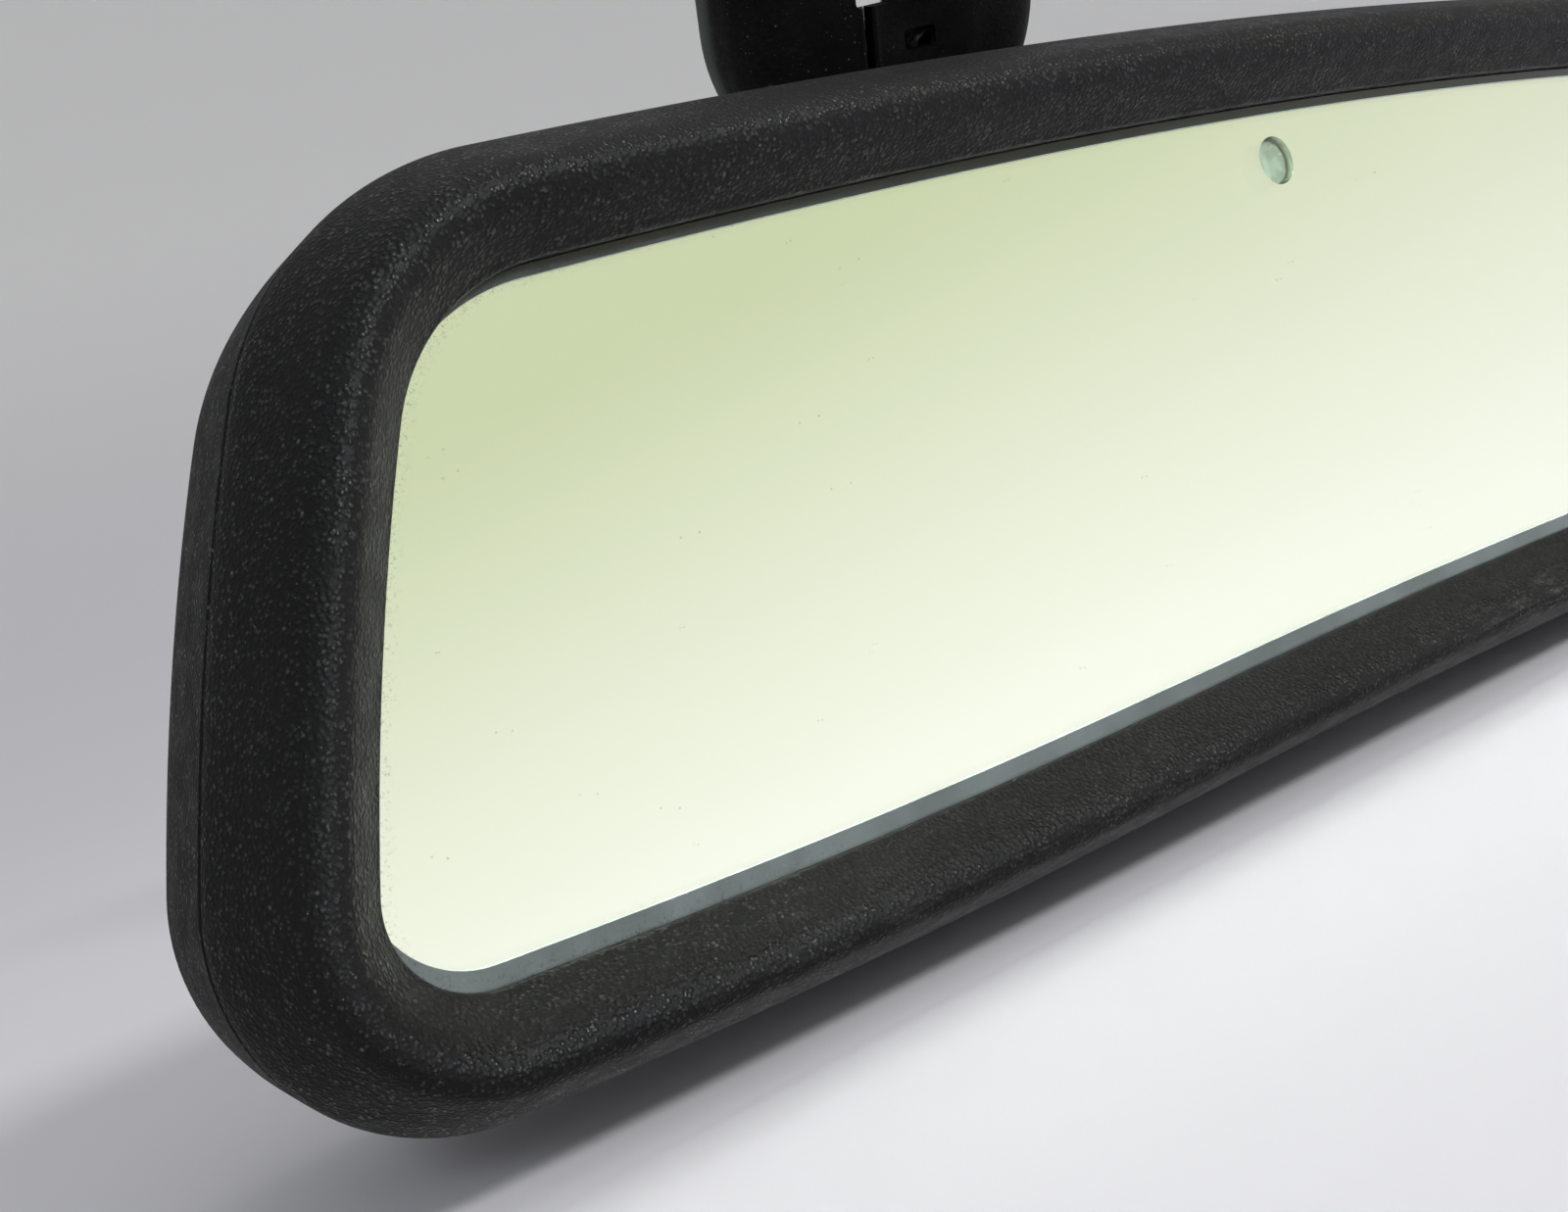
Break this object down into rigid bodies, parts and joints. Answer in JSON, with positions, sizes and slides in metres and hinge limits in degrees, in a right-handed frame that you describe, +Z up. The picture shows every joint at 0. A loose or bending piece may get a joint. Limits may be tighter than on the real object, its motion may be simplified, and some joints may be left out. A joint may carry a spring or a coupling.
{
  "type": "interior rearview mirror",
  "caption": "Auto-dimming interior rearview mirror: framed wide glass with light sensor window, ball-jointed stay and two-part covered windscreen foot.",
  "frame": {"origin": "centre of the round windscreen socket in the foot, on the face that rests against the windscreen", "axes": "+X along the mirror to the driver's right, +Y forward through the windscreen away from the driver, +Z up; the glass faces -Y"},
  "size_m": [0.2401, 0.0983, 0.1508],
  "materials": {
    "frame_plastic": "fine leather grain, satin black",
    "housing_plastic": "fine leather grain, satin black",
    "clear_glass": "polished",
    "edge_seal": "grey-green epoxy seen through glass",
    "mirror_coat": "silvered, faint yellow-green tint",
    "spring_metal": "bright rolled strip",
    "foam": "adhesive foam",
    "carrier_plastic": "moulded, plain",
    "board": "green solder mask",
    "screw_steel": "zinc plated",
    "chip_plastic": "moulded",
    "capacitor_sleeve": "dark sleeve",
    "connector_plastic": "natural nylon",
    "light_guide": "grey-green clear plastic",
    "cast_metal": "die-cast, blasted",
    "liner_plastic": "acetal",
    "stay_metal": "black coated casting",
    "seal_rubber": "matt",
    "clip_brass": "spring brass",
    "cover_plastic": "fine grain, satin black"
  },
  "bodies": {
    "foot": {"stay_arm": "stay_metal", "arm_screws": "screw_steel", "foot_base": "cast_metal", "foot_seal": "seal_rubber", "retaining_clip": "clip_brass", "foot_connector": "chip_plastic", "seat_ring": "seal_rubber", "foot_cover_left": "cover_plastic", "foot_cover_right": "cover_plastic"},
    "liner": {"socket_liner": "liner_plastic"},
    "friction_cap": {"friction_cap": "spring_metal"},
    "head": {"front_bezel": "frame_plastic", "rear_housing": "housing_plastic", "front_glass": "clear_glass", "cell_seal": "edge_seal", "rear_mirror_glass": "mirror_coat", "upper_bus_clip": "spring_metal", "lower_bus_clip": "spring_metal", "foam_pad": "foam", "glass_carrier": "carrier_plastic", "circuit_board": "board", "board_screws": "screw_steel", "microcontroller": "chip_plastic", "board_capacitors": "capacitor_sleeve", "board_connector": "connector_plastic", "glare_sensor": "chip_plastic", "glare_light_guide": "light_guide", "forward_sensor": "chip_plastic", "forward_light_guide": "light_guide", "socket_cup": "cast_metal", "socket_screws": "screw_steel"}
  },
  "joints": [
    {"name": "head_pan", "type": "hinge", "parent": "foot", "child": "liner", "pos_m": [-0.01286, -0.04208, -0.0925], "axis": [0, 0, 1], "range_deg": [-42, 8]},
    {"name": "head_tilt", "type": "hinge", "parent": "liner", "child": "friction_cap", "pos_m": [-0.01286, -0.04208, -0.0925], "axis": [1, 0, 0], "range_deg": [-28, 8]},
    {"name": "head_roll", "type": "hinge", "parent": "friction_cap", "child": "head", "pos_m": [-0.01286, -0.04208, -0.0925], "axis": [0, 1, 0], "range_deg": [-8, 8]}
  ]
}
